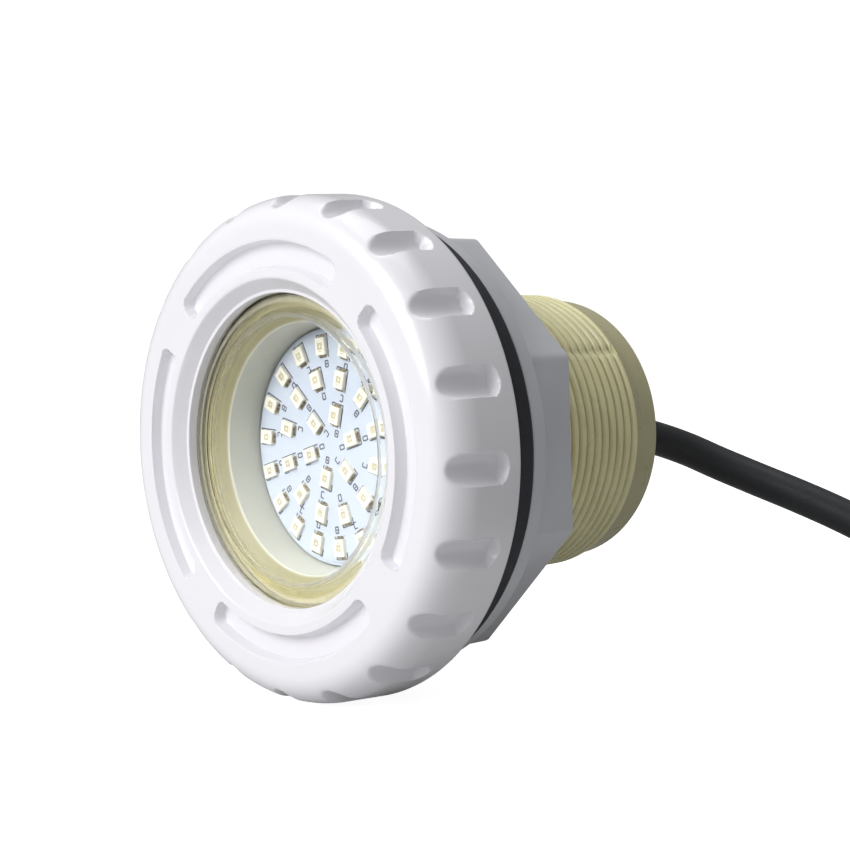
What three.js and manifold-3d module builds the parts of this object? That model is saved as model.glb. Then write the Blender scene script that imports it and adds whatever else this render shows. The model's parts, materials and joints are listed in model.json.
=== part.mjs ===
// Underwater pool light with a threaded wall conduit, as an assembly of separate pieces.
// Millimetres, +Z up. The lamp's axis is Y: the lens faces -Y and the conduit points to +Y.
// The origin is on the axis, in the plane where the wall gasket meets the pool wall.
import * as THREE from "three";
import { mergeVertices } from "three/addons/utils/BufferGeometryUtils.js";
import Module from "manifold-3d";

const wasm = await Module();
wasm.setup();

// Driving dimensions.
const GAP = 0.3; // clearance between pieces that touch on the real object
const FACE_RING = {
  outerRadius: 49.6,
  frontY: -24.4,
  rearY: -7.9,
  shoulderRadius: 43,
  shoulderEndY: -16.4,
  boreRadius: 44.6,
  webBackY: -19.8,
  lipRadius: 30.4,
  lipY: -21.9,
  bevelRadius: 33.2,
  flutes: 20,
  fluteRadius: 3,
  fluteDepth: 2.6,
  fluteEndY: -10.3,
  flutePhase: -2.5,
  pockets: 4,
  pocketInner: 35.2,
  pocketOuter: 40.2,
  pocketHalfAngle: 37.2,
  pocketPhase: 6,
  pocketDepth: 2.2,
};
const CONDUIT = {
  flangeRadius: 45.6,
  boreRadius: 25.4,
  threadRadius: 29.8, // G2 pipe thread, 59.6 mm over its crests; the solid is plain at this size
  threadEndY: 49.4,
  endRadius: 28.5,
  endY: 56.9,
};
const NUT = {
  flangeRadius: 45.6,
  flangeRearY: 3.9,
  sides: 8,
  cornerRadius: 43.7,
  rearY: 16.4,
  boreRadius: 30.15,
};
const BOARD = { radius: 23.6, frontY: -6.9, thickness: 1.6 };
const LED = {
  rings: [
    { count: 6, radius: 6.5 },
    { count: 12, radius: 13.7 },
    { count: 18, radius: 20 },
  ],
  phase: 15.5,
  length: 3.5,
  width: 2.8,
  height: 0.8,
};
const COVER_SCREWS = { angles: [90, 210, 330], radius: 20 };
const LEAD = { radius: 4, startY: 44, coreRadius: 1.2 };
const FLOOR_Z = -FACE_RING.outerRadius; // the surface that the ring and the put-away lead lie on
const COIL = {
  x: 129,
  y: 72,
  innerTurn: 37,
  outerTurn: 45,
  lift: 1,
  height: 24, // three layers of turns
};

const ROUND = 40; // segments of the large round pieces
const SMALL = 20; // segments of the small round pieces
const WHITE = [0.86, 0.86, 0.87];
const CREAM = [0.62, 0.6, 0.4];
const GREY = [0.45, 0.46, 0.49];
const BLACK = [0.03, 0.03, 0.035];
const STEEL = [0.6, 0.6, 0.62];

const radians = THREE.MathUtils.degToRad;

function material([r, g, b], roughness = 0.5, metalness = 0, opacity = 1) {
  return new THREE.MeshStandardMaterial({
    color: new THREE.Color(r, g, b),
    roughness,
    metalness,
    opacity,
    transparent: opacity < 1,
  });
}

// A geometry as a manifold-3d solid, and back.
function solidOf(geometry) {
  const bare = geometry.clone();
  bare.deleteAttribute("normal");
  bare.deleteAttribute("uv");
  const merged = mergeVertices(bare, 1e-4);
  return new wasm.Manifold(
    new wasm.Mesh({
      numProp: 3,
      vertProperties: merged.attributes.position.array,
      triVerts: new Uint32Array(merged.index.array),
    }),
  );
}

function geometryOf(solid) {
  const mesh = solid.getMesh();
  return new THREE.BufferGeometry()
    .setAttribute("position", new THREE.BufferAttribute(mesh.vertProperties, 3))
    .setIndex(new THREE.BufferAttribute(mesh.triVerts, 1));
}

function cut(geometry, tools) {
  const done = tools.reduce((s, t) => s.subtract(solidOf(t)), solidOf(geometry));
  return geometryOf(done);
}

function join(geometry, others) {
  const done = others.reduce((s, t) => s.add(solidOf(t)), solidOf(geometry));
  return geometryOf(done);
}

// A closed outline of [radius, y] points, or one that starts and ends on the axis, turned about Y.
function turned(outline, segments = ROUND) {
  const onAxis = outline[0][0] === 0;
  const points = onAxis ? [...outline] : [...outline, outline[0]];
  const area = points.reduce((sum, [r, y], i) => {
    const [nextR, nextY] = points[(i + 1) % points.length];
    return sum + r * nextY - nextR * y;
  }, 0);
  if (area < 0) points.reverse();
  return new THREE.LatheGeometry(
    points.map(([r, y]) => new THREE.Vector2(r, y)),
    segments,
  );
}

// A plain ring between two radii, from one y to the other.
function ring(innerRadius, outerRadius, y0, y1, segments = ROUND) {
  return turned(
    [
      [innerRadius, y0],
      [outerRadius, y0],
      [outerRadius, y1],
      [innerRadius, y1],
    ],
    segments,
  );
}

function rod(radius, y0, y1, segments = SMALL) {
  const geometry = new THREE.CylinderGeometry(radius, radius, y1 - y0, segments);
  return geometry.translate(0, (y0 + y1) / 2, 0);
}

function block(x, y, z, centre) {
  return new THREE.BoxGeometry(x, y, z).translate(...centre);
}

// A torus about the Y axis.
function seal(radius, section, y) {
  const geometry = new THREE.TorusGeometry(radius, section, 6, 32);
  return geometry.rotateX(Math.PI / 2).translate(0, y, 0);
}

// Moves a geometry from the axis to a radius and an angle about Y, measured from +X towards +Z.
function around(geometry, radius, degrees) {
  const angle = radians(degrees);
  return geometry.translate(
    radius * Math.cos(angle),
    0,
    radius * Math.sin(angle),
  );
}

// A flat outline in the XZ plane, extruded from y0 back to y1.
function plate(shape, y0, y1, curveSegments = 12) {
  const geometry = new THREE.ExtrudeGeometry(shape, {
    depth: y1 - y0,
    bevelEnabled: false,
    curveSegments,
  });
  return geometry.rotateX(Math.PI / 2).translate(0, y1, 0);
}

function polygon(sides, cornerRadius, phaseDegrees) {
  const corners = Array.from({ length: sides }, (_, i) => {
    const angle = radians(phaseDegrees + (i * 360) / sides);
    return new THREE.Vector2(
      cornerRadius * Math.cos(angle),
      cornerRadius * Math.sin(angle),
    );
  });
  return new THREE.Shape(corners);
}

// A round tube of a few sides along a smooth curve through the points.
function tube(points, radius, sides, steps) {
  const curve = new THREE.CatmullRomCurve3(
    points.map((p) => new THREE.Vector3(...p)),
    false,
    "centripetal",
  );
  return new THREE.ExtrudeGeometry(polygon(sides, radius, 0), {
    extrudePath: curve,
    steps,
    bevelEnabled: false,
  });
}

// Face ring: a rounded, fluted screw ring with four finger pockets in its front face.
function faceRing() {
  const r = FACE_RING;
  const shoulder = Array.from({ length: 7 }, (_, i) => {
    const t = (i / 6) * (Math.PI / 2);
    return [
      r.shoulderRadius + (r.outerRadius - 0.4 - r.shoulderRadius) * Math.sin(t),
      r.shoulderEndY + (r.frontY - r.shoulderEndY) * Math.cos(t),
    ];
  });
  const body = turned(
    [
      [r.lipRadius, r.webBackY],
      [r.lipRadius, r.lipY],
      [r.bevelRadius, r.frontY],
      ...shoulder,
      [r.outerRadius, r.rearY + 0.5],
      [r.outerRadius - 0.5, r.rearY],
      [r.boreRadius, r.rearY],
      [r.boreRadius, r.webBackY],
    ],
    3 * r.flutes,
  );
  const flutes = Array.from({ length: r.flutes }, (_, i) => {
    const length = 16;
    const cutter = new THREE.CapsuleGeometry(r.fluteRadius, length, 3, 10);
    cutter.translate(0, r.fluteEndY - r.fluteRadius - length / 2, 0);
    const place = r.outerRadius - r.fluteDepth + r.fluteRadius;
    return around(cutter, place, r.flutePhase + (i * 360) / r.flutes);
  });
  const pockets = Array.from({ length: r.pockets }, (_, i) => {
    const middle = r.pocketPhase + (i * 360) / r.pockets;
    const from = radians(middle - r.pocketHalfAngle);
    const to = radians(middle + r.pocketHalfAngle);
    const slot = new THREE.Shape();
    slot.absarc(0, 0, r.pocketOuter, from, to, false);
    slot.absarc(0, 0, r.pocketInner, to, from, true);
    return plate(slot, r.frontY - 1, r.frontY + r.pocketDepth);
  });
  return cut(body, [...flutes, ...pockets]);
}

// Niche body: the collar that the ring screws on, the wall flange and the threaded conduit.
function nicheBody() {
  const c = CONDUIT;
  return turned([
    [41.2, -18],
    [44.2, -18],
    [44.2, -7.6],
    [c.flangeRadius, -7.6],
    [c.flangeRadius, -4.2],
    [c.threadRadius, -4.2],
    [c.threadRadius, c.threadEndY - 1],
    [c.endRadius, c.threadEndY],
    [c.endRadius, c.endY],
    [c.boreRadius, c.endY],
    [c.boreRadius, -6],
    [28.2, -6],
    [28.2, -11.7],
    [33.4, -11.7],
    [33.4, -9.5],
    [36.6, -9.5],
    [36.6, -11.7],
    [41.2, -11.7],
  ]);
}

function flangeNut() {
  const n = NUT;
  const flange = turned([
    [n.boreRadius, 0.15],
    [n.flangeRadius, 0.15],
    [n.flangeRadius - 0.4, n.flangeRearY],
    [n.boreRadius, n.flangeRearY],
  ]);
  const body = plate(
    polygon(n.sides, n.cornerRadius, 180 / n.sides),
    n.flangeRearY - 1,
    n.rearY,
  );
  const recess = rod(38.6, -1, 1.15, ROUND);
  const bore = rod(n.boreRadius, -1, n.rearY + 1, ROUND);
  return cut(join(flange, [body]), [recess, bore]);
}

function lens() {
  return turned([
    [0, -20.1],
    [25.9, -20.1],
    [26.2, -19.8],
    [26.5, -20.1],
    [28.2, -20],
    [30.1, -19.4],
    [30.1, -18.4],
    [40.6, -18.4],
    [40.6, -15.3],
    [29.3, -15.3],
    [29.3, -16.7],
    [0, -16.7],
  ]);
}

// A copy of a geometry at each of the lamp's back cover screws.
function atCoverScrews(make) {
  return COVER_SCREWS.angles.map((angle) => around(make(), COVER_SCREWS.radius, angle));
}

// Lamp cup: the sealed insert's housing, with the seat of the LED board and three screw bosses.
function lampCup() {
  const shell = turned([
    [24.64, -14],
    [27.3, -16.4],
    [29, -16.4],
    [29, -15],
    [33.4, -15],
    [33.4, -12.8],
    [36.6, -12.8],
    [36.6, -15],
    [40.6, -15],
    [40.6, -12],
    [27.9, -12],
    [27.9, -6.4],
    [24.9, -6.4],
    [24.9, 22],
    [22.2, 22],
    [22.2, -1.7],
    [23.9, -1.7],
    [23.95, -7],
  ]);
  const bosses = atCoverScrews(() => rod(2.6, 13, 22));
  const holes = atCoverScrews(() => rod(1.4, 12, 23, 12));
  return cut(join(shell, bosses), holes);
}

function lampBackCover() {
  const plateAndBoss = turned([
    [6.4, 22.3],
    [24.9, 22.3],
    [24.9, 25.3],
    [10.5, 25.3],
    [10.5, 29.3],
    [6.4, 29.3],
  ]);
  const holes = atCoverScrews(() => rod(1.7, 21, 26, 12));
  return cut(plateAndBoss, holes);
}

function coverScrew() {
  return turned(
    [
      [0, 13.6],
      [1.1, 13.6],
      [1.1, 25.6],
      [2.5, 25.6],
      [2.5, 27.2],
      [0, 27.2],
    ],
    12,
  );
}

// The circuit layer and its LED packages, which are soldered to it and make one piece.
function ledArray() {
  const layerFront = BOARD.frontY - 0.5;
  const layer = rod(BOARD.radius - 0.8, layerFront, BOARD.frontY - GAP, 36);
  const packages = LED.rings.flatMap(({ count, radius }) =>
    Array.from({ length: count }, (_, i) => {
      const angle = LED.phase + (i * 360) / count;
      const box = new THREE.BoxGeometry(LED.length, LED.height + 0.1, LED.width);
      box.rotateY(radians(-angle));
      box.translate(0, layerFront - LED.height / 2 + 0.05, 0);
      return around(box, radius, angle);
    }),
  );
  return join(layer, packages);
}

function glandBody() {
  const bore = LEAD.radius + 0.4;
  const stem = turned(
    [
      [bore, 22.6],
      [6, 22.6],
      [6, 29.6],
      [9.3, 29.6],
      [9.3, 40],
      [7.7, 40],
      [7.7, 33.6],
      [bore, 33.6],
    ],
    SMALL,
  );
  const hexagon = cut(plate(polygon(6, 12.4, 30), 29.6, 33.4), [rod(8, 29, 34)]);
  return join(stem, [hexagon]);
}

function glandNut() {
  const hexagon = plate(polygon(6, 12.4, 0), 34, 42.5);
  const dome = rod(9.2, 42, 46);
  const chamber = rod(9.6, 33, 41.5);
  const mouth = rod(7.6, 40, 47);
  return cut(join(hexagon, [dome]), [chamber, mouth]);
}

// The claw ring that the gland nut presses inwards: a slit sleeve.
function glandClaw() {
  const sleeve = ring(6.4, 7.3, 34.2, 45.6, SMALL);
  const slits = Array.from({ length: 6 }, (_, i) =>
    around(block(3, 9, 0.8, [0, 34, 0]).rotateY(radians(-i * 60)), 6.8, i * 60),
  );
  return cut(sleeve, slits);
}

function bendSleeve() {
  const bore = LEAD.radius + GAP;
  return turned(
    [
      [bore, 46.3],
      [7, 46.3],
      [7, 48],
      [5.2, 60],
      [bore, 60],
    ],
    SMALL,
  );
}

// The lead from the gland to the coil: out along the axis, drooping, and down to the floor.
const leadRoute = [
  [0, LEAD.startY, 0],
  [0, 55, 0],
  [0, 66, 0],
  [0.8, 76, -1.1],
  [3.2, 84.6, -3.3],
  [8, 91.6, -6.3],
  [15, 97, -10.4],
  [23, 101, -14.2],
  [32, 104.6, -18.1],
  [41, 108, -22.3],
  [50, 111, -27],
  [60, 113.2, -32.5],
  [70, 114.9, -37.6],
  [80, 116, -41.5],
  [90, 116.7, -43.8],
  [101, 117, -44.6],
];

// The outer shape of the coil: a ring about a vertical axis.
function coilRing() {
  const low = FLOOR_Z + COIL.lift;
  const inside = COIL.innerTurn - LEAD.radius;
  const outside = COIL.outerTurn + LEAD.radius;
  const high = low + COIL.height;
  const chamfer = 2;
  const geometry = turned(
    [
      [inside, low],
      [outside, low],
      [outside, high - chamfer],
      [outside - chamfer, high],
      [inside + chamfer, high],
      [inside, high - chamfer],
    ],
    36,
  );
  return geometry.rotateX(Math.PI / 2);
}

// A strap round the coil's bundle of turns.
function coilTie() {
  const thickness = 0.6;
  const inside = COIL.innerTurn - LEAD.radius - 2 * GAP;
  const outside = COIL.outerTurn + LEAD.radius + GAP;
  const low = FLOOR_Z + COIL.lift - GAP;
  const high = FLOOR_Z + COIL.lift + COIL.height + GAP;
  const wide = outside - inside;
  const tall = high - low;
  const middle = [(inside + outside) / 2, 0, (low + high) / 2];
  const outer = block(wide + 2 * thickness, 8, tall + 2 * thickness, middle);
  return cut(outer, [block(wide, 10, tall, middle)]);
}

// One stripped core, lying on the coil along a circle about the coil's centre.
function core(turnRadius, fromDegrees, toDegrees) {
  const height = FLOOR_Z + COIL.lift + COIL.height + LEAD.coreRadius + GAP;
  const points = Array.from({ length: 6 }, (_, i) => {
    const angle = radians(THREE.MathUtils.lerp(fromDegrees, toDegrees, i / 5));
    return [
      COIL.x + turnRadius * Math.cos(angle),
      COIL.y + turnRadius * Math.sin(angle),
      height,
    ];
  });
  return tube(points, LEAD.coreRadius, 8, 8);
}

const light = new THREE.Group();
function add(name, geometry, look, place = [0, 0, 0]) {
  const mesh = new THREE.Mesh(geometry, look);
  mesh.name = name;
  mesh.position.set(...place);
  light.add(mesh);
  return mesh;
}

const white = () => material(WHITE, 0.3);
const cream = () => material(CREAM, 0.45);
const rubber = () => material(BLACK, 0.7);
const steel = () => material(STEEL, 0.35, 1);

add("face_ring", faceRing(), white());
add("slip_ring", ring(31, 40.6, -19.45, -18.75), material([0.8, 0.8, 0.8], 0.4));
add("lens", lens(), material([0.85, 0.9, 0.85], 0.05, 0, 0.35));
add("lens_o_ring", seal(35, 1, -14.2), rubber());
add("insert_o_ring", seal(35, 1, -10.8), rubber());
add("niche_body", nicheBody(), cream());
add("wall_gasket", ring(30.2, 46.2, -3.9, -0.15), rubber());
add("flange_nut", flangeNut(), material(GREY, 0.5));
add("nut_slip_washer", ring(31, 38.2, 0.1, 0.8), material([0.7, 0.7, 0.68], 0.5));

add("lamp_cup", lampCup(), cream());
add(
  "led_board",
  rod(BOARD.radius, BOARD.frontY, BOARD.frontY + BOARD.thickness, ROUND),
  white(),
);
add("led_array", ledArray(), material([0.9, 0.88, 0.78], 0.4));
add("heat_sink", rod(23.4, -5, -2, ROUND), material([0.7, 0.7, 0.72], 0.4, 1));

const driverBoardY = 5;
const pillarAngles = [30, 150, 270];
pillarAngles.forEach((angle, i) =>
  add(
    `pillar_${i + 1}`,
    around(rod(1.8, -1.7, driverBoardY - GAP, 12), 17, angle),
    material([0.8, 0.65, 0.3], 0.3, 1),
  ),
);
add(
  "driver_board",
  rod(20.5, driverBoardY, driverBoardY + 1.6, 36),
  material([0.05, 0.3, 0.12], 0.5),
);
const partsY = driverBoardY + 1.6 + GAP; // the face that the driver's parts stand on
add(
  "bridge_rectifier",
  block(6.5, 2.6, 5, [-9, partsY + 1.3, 6]),
  material(BLACK, 0.5),
);
add("controller_chip", block(5, 1.6, 4, [8, partsY + 0.8, 8]), material(BLACK, 0.5));
add(
  "inductor",
  rod(4, partsY, partsY + 5).translate(0, 0, -9),
  material([0.2, 0.2, 0.22], 0.6),
);
[-9.5, 9.5].forEach((x, i) =>
  add(
    `capacitor_${i + 1}`,
    rod(3.2, partsY, partsY + 9).translate(x, 0, -5),
    material([0.1, 0.12, 0.3], 0.4),
  ),
);
add(
  "fuse",
  rod(1.4, -3.5, 3.5).rotateZ(Math.PI / 2).translate(0, partsY + 1.6, 13),
  material([0.75, 0.75, 0.7], 0.3),
);
[
  ["link_wire_red", -3, [0.6, 0.05, 0.05]],
  ["link_wire_black", 3, BLACK],
].forEach(([name, x, colour]) =>
  add(
    name,
    tube(
      [
        [x, -1.7, 2],
        [x, 0, 2],
        [x * 1.4, 2, 3],
        [x * 1.6, driverBoardY - GAP, 4],
      ],
      0.7,
      6,
      6,
    ),
    material(colour, 0.5),
  ),
);
add("lamp_back_cover", lampBackCover(), cream());
atCoverScrews(coverScrew).forEach((screw, i) =>
  add(`cover_screw_${i + 1}`, screw, steel()),
);

add("gland_body", glandBody(), material(BLACK, 0.5));
add("gland_seal", ring(LEAD.radius + GAP, 6.1, 34, 44, SMALL), rubber());
add("gland_claw", glandClaw(), material([0.75, 0.75, 0.72], 0.5));
add("gland_nut", glandNut(), material(BLACK, 0.5));
add("bend_sleeve", bendSleeve(), rubber());
add("cable_inlet", rod(LEAD.radius, 19, LEAD.startY - GAP), rubber());

add("cable", tube(leadRoute, LEAD.radius, 8, 44), rubber());
add("cable_coil", coilRing(), rubber(), [COIL.x, COIL.y, 0]);
const tie = add("coil_tie", coilTie(), material([0.15, 0.15, 0.16], 0.8), [
  COIL.x,
  COIL.y,
  0,
]);
tie.rotation.z = radians(80);
add("core_brown", core(COIL.outerTurn - 1.4, 56, 16), material([0.25, 0.1, 0.04], 0.4));
add("core_blue", core(COIL.outerTurn + 1.2, 56, 16), material([0.03, 0.12, 0.5], 0.4));

export default light;
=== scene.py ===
"""Underwater pool light: the finished look of every piece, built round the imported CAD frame.

The lamp's axis is Y: the lens faces -Y, the conduit points to +Y, and +Z is up. Outlines are lists of
(radius, y) in millimetres, and a mesh turns them into metres.
"""

import json
import math

import bmesh
import bpy
import numpy as np
from mathutils import Matrix, Quaternion, Vector

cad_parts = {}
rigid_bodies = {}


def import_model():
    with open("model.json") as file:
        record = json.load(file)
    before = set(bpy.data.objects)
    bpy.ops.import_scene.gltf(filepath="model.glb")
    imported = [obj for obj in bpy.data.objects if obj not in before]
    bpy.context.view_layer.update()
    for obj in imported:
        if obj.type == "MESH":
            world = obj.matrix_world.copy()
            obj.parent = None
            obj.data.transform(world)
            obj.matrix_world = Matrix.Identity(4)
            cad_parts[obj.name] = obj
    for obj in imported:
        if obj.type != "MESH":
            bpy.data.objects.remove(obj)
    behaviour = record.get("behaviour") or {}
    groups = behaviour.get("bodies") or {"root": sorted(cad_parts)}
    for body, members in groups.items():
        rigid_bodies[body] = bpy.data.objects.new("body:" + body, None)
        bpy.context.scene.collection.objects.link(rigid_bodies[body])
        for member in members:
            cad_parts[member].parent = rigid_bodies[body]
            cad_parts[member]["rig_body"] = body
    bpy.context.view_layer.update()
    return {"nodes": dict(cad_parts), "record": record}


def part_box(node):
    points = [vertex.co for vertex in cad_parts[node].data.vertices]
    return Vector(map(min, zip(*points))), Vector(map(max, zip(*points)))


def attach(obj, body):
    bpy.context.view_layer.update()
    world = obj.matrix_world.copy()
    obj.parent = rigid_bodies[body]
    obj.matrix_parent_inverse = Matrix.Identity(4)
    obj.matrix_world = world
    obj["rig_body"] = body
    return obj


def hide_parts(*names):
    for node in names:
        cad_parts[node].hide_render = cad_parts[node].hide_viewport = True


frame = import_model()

MM = 0.001
BUMP_HEIGHT = 0.2  # of every fine texture, in millimetres


def extent(node):
    """A CAD node's lowest and highest corners, in millimetres."""
    low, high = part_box(node)
    return low / MM, high / MM


def span(node):
    """A turned CAD node's front and rear along the axis, and its radius, in millimetres."""
    low, high = extent(node)
    return low.y, high.y, high.x


# Driving dimensions, in millimetres and degrees. The rest comes from the boxes of the frame's nodes.
RING_FRONT, RING_REAR, RING_RADIUS = span("face_ring")
RING_OPENING = 30.4
FLUTES = {
    "count": 20,
    "cutter": 3.0,  # the radius of the groove's round bottom
    "depth": 2.5,
    "front_depth": 3.3,
    "end": -10.2,
    "slope": 0.9,
    "roundness": 1.3,  # how much sooner the groove ends at its edges than in its middle
    "phase": -2.5,
}
POCKETS = {"count": 4, "middle": 37.7, "half_width": 2.5, "half_angle": 37.2, "phase": 6, "depth": 2.2}
LENS_RIM = 30.1
SEAL_GROOVE = {"inner": 33.4, "outer": 36.6}
THREAD = {"radius": 29.8, "pitch": 2.309, "depth": 1.15, "start": 0.4, "end": 49.2}
COLLAR = {"radius": 44.2, "pitch": 3.0, "depth": 0.7, "start": -17.2, "end": -8.2}
PARTING_ANGLE = 36  # where the two halves of the conduit's mould met, from +X towards +Z
NUT = {"sides": 8, "corner": 43.7, "bore": 30.15}
BOARD_RADIUS = 22.8
LED_RINGS = ((6, 6.5), (12, 13.7), (18, 20.0))  # how many packages, and on what radius
LED_PHASE = 15.5
LED_SIZE = (3.5, 2.8, 0.8)  # radial, across and tall
CABLE_RADIUS = 4.0
CORE_RADIUS = 1.2
FLOOR_Z = -RING_RADIUS
COIL = {"x": 129.0, "y": 72.0, "inner": 37.0, "outer": 45.0, "layer": 8.05, "low": FLOOR_Z + 5.0}
COIL_START = 90.0  # on the coil's +Y side
COIL_END = -1735.0  # almost five turns on, clockwise seen from above
TIE_ANGLE = 80


# ---------------------------------------------------------------- camera, floor and lights


def add_object(name, data):
    """A new object in the scene."""
    thing = bpy.data.objects.new(name, data)
    bpy.context.scene.collection.objects.link(thing)
    return thing


def make_camera():
    """A camera at the lamp's front right, a little above its axis."""
    azimuth, elevation, roll = (math.radians(a) for a in (46.67, 2.84, -1.68))
    where = Vector((249.43, -219.11, 19.95))
    focal_length, sensor_width, nearest = 70, 36, 0.01
    level = math.cos(elevation)
    back = Vector((math.sin(azimuth) * level, -math.cos(azimuth) * level, math.sin(elevation)))
    camera = add_object("camera", bpy.data.cameras.new("camera"))
    camera.data.lens = focal_length
    camera.data.sensor_width = sensor_width
    camera.data.clip_start = nearest
    camera.location = where * MM
    camera.rotation_mode = "QUATERNION"
    camera.rotation_quaternion = back.to_track_quat("Z", "Y") @ Quaternion((0, 0, 1), roll)
    bpy.context.scene.camera = camera


def make_floor():
    """A pale floor that the camera sees almost white, with a faint contact shadow."""
    half_size, below, grey, brightness = 6.0, 0.0002, 0.6, 0.93
    mesh = bpy.data.meshes.new("floor")
    corners = ((-1, -1), (1, -1), (1, 1), (-1, 1))
    points = [(x * half_size, y * half_size, FLOOR_Z * MM - below) for x, y in corners]
    mesh.from_pydata(points, [], [(0, 1, 2, 3)])
    add_object("floor", mesh)

    material, tree = new_tree("floor_pale")
    to_camera = add_node(tree, "LightPath").outputs["Is Camera Ray"]
    soft = add_node(tree, "BsdfDiffuse", {"Color": (grey, grey, grey, 1)})
    glow = add_node(tree, "Emission", {"Strength": brightness})
    seen = add_node(tree, "AddShader", {0: soft.outputs[0], 1: glow.outputs[0]})
    finish_tree(tree, mixed(tree, to_camera, soft, seen))
    mesh.materials.append(material)


def make_world(ambient, backdrop):
    """A backdrop that the camera sees white, and that lights the object with a soft grey."""
    world = bpy.data.worlds.new("studio")
    bpy.context.scene.world = world
    world.use_nodes = True
    tree = world.node_tree
    tree.nodes.clear()
    to_camera = add_node(tree, "LightPath").outputs["Is Camera Ray"]
    strength = add_node(tree, "MapRange", {"Value": to_camera, "To Min": ambient, "To Max": backdrop})
    shade = add_node(tree, "Background", {"Color": (1, 1, 1, 1), "Strength": strength.outputs["Result"]})
    add_node(tree, "OutputWorld", {"Surface": shade.outputs[0]})


def add_light(name, where, size, power):
    """A square soft box that faces the lamp. It is placed and sized in metres."""
    data = bpy.data.lights.new(name, "AREA")
    data.shape = "SQUARE"
    data.size = size
    data.energy = power
    light = add_object(name, data)
    light.location = where
    light.rotation_mode = "QUATERNION"
    light.rotation_quaternion = Vector(where).to_track_quat("Z", "Y")


def make_lights():
    add_light("front_box", (-0.14, -0.93, 0.52), size=0.75, power=10.2)
    add_light("top_box", (-0.10, 0.10, 0.95), size=0.7, power=2.9)


# ---------------------------------------------------------------- materials


def new_tree(name):
    """A material with an empty node tree."""
    material = bpy.data.materials.new(name)
    material.use_nodes = True
    material.node_tree.nodes.clear()
    return material, material.node_tree


def add_node(tree, kind, inputs=None, **settings):
    """A new node. Each of its inputs named here takes a value or follows another node's output."""
    node = tree.nodes.new("ShaderNode" + kind)
    for name, value in settings.items():
        setattr(node, name, value)
    for name, value in (inputs or {}).items():
        if isinstance(value, bpy.types.NodeSocket):
            tree.links.new(value, node.inputs[name])
        else:
            node.inputs[name].default_value = value
    return node


def finish_tree(tree, shader):
    """The shader becomes what the material shows."""
    add_node(tree, "OutputMaterial", {"Surface": shader.outputs[0]})


def noise_at(tree, scale, detail=3.0):
    """A noise that is fixed to the piece. scale is in blobs a metre."""
    where = add_node(tree, "TexCoord").outputs["Object"]
    return add_node(tree, "TexNoise", {"Vector": where, "Scale": scale, "Detail": detail}).outputs["Fac"]


def ranged(tree, value, low, high):
    """A value from 0.3 to 0.7, where a noise mostly lies, spread from low to high."""
    inputs = {"Value": value, "From Min": 0.3, "From Max": 0.7, "To Min": low, "To Max": high}
    return add_node(tree, "MapRange", inputs).outputs["Result"]


def bumped(tree, strength, height):
    """The way a finely textured surface faces, from its height."""
    inputs = {"Strength": strength, "Distance": BUMP_HEIGHT * MM, "Height": height}
    return add_node(tree, "Bump", inputs).outputs["Normal"]


def blended(tree, factor, first, second):
    """Two colours in one. factor is how much of it is the second."""
    inputs = {"Factor": factor, "A": first, "B": second}
    return add_node(tree, "Mix", inputs, data_type="RGBA").outputs["Result"]


def surface(name, colour, roughness, mottle, blotch, grain, grain_size, metal=0.0, coat=0.0, wear=0.15):
    """A moulded, rubbed or machined surface.

    mottle is how far the colour strays over blotches, of which there are blotch in a metre. wear is how
    far the roughness strays, and grain the strength of a fine texture whose size is in millimetres.
    """
    material, tree = new_tree(name)
    dark = (*[c * (1 - mottle) for c in colour], 1)
    light = (*[min(1, c * (1 + mottle)) for c in colour], 1)
    smoothest, roughest = roughness * (1 - wear), min(1, roughness * (1 + wear))
    rubbed = noise_at(tree, blotch * 4, detail=5)
    inputs = {
        "Base Color": blended(tree, ranged(tree, noise_at(tree, blotch), 0, 1), dark, light),
        "Roughness": ranged(tree, rubbed, smoothest, roughest),
        "Normal": bumped(tree, grain, noise_at(tree, 1 / (grain_size * MM), detail=2)),
        "Metallic": metal,
        "Coat Weight": coat,
        "Coat Roughness": 0.15,
    }
    finish_tree(tree, add_node(tree, "BsdfPrincipled", inputs, name="shader"))
    return material


def tint(material, colour, amount):
    """Lays another colour over a material, as strongly as a value in its tree says."""
    tree = material.node_tree
    shown = tree.nodes["shader"].inputs["Base Color"]
    tree.links.new(blended(tree, amount, shown.links[0].from_socket, (*colour, 1)), shown)


def between(tree, value, low, high, most=1.0):
    """From nothing where a distance is low to the most where it is high, softly, in millimetres."""
    inputs = {"Value": value, "From Min": low * MM, "From Max": high * MM, "To Max": most}
    return add_node(tree, "MapRange", inputs, interpolation_type="SMOOTHSTEP").outputs["Result"]


def axis_distance(tree):
    """How far a point is from the lamp's axis."""
    where = add_node(tree, "TexCoord").outputs["Object"]
    flat = add_node(tree, "VectorMath", {0: where, 1: (1, 0, 1)}, operation="MULTIPLY")
    return add_node(tree, "VectorMath", {0: flat.outputs["Vector"]}, operation="LENGTH").outputs["Value"]


def along_axis(tree):
    """Where a point is along the lamp's axis."""
    where = add_node(tree, "TexCoord").outputs["Object"]
    return add_node(tree, "SeparateXYZ", {0: where}).outputs["Y"]


def calculated(tree, operation, first, second):
    """The result of an operation on two of the tree's values."""
    return add_node(tree, "Math", {0: first, 1: second}, operation=operation).outputs[0]


def mixed(tree, factor, first, second):
    """Two shaders in one. factor is how much of it is the second."""
    return add_node(tree, "MixShader", {"Fac": factor, 1: first.outputs[0], 2: second.outputs[0]})


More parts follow.
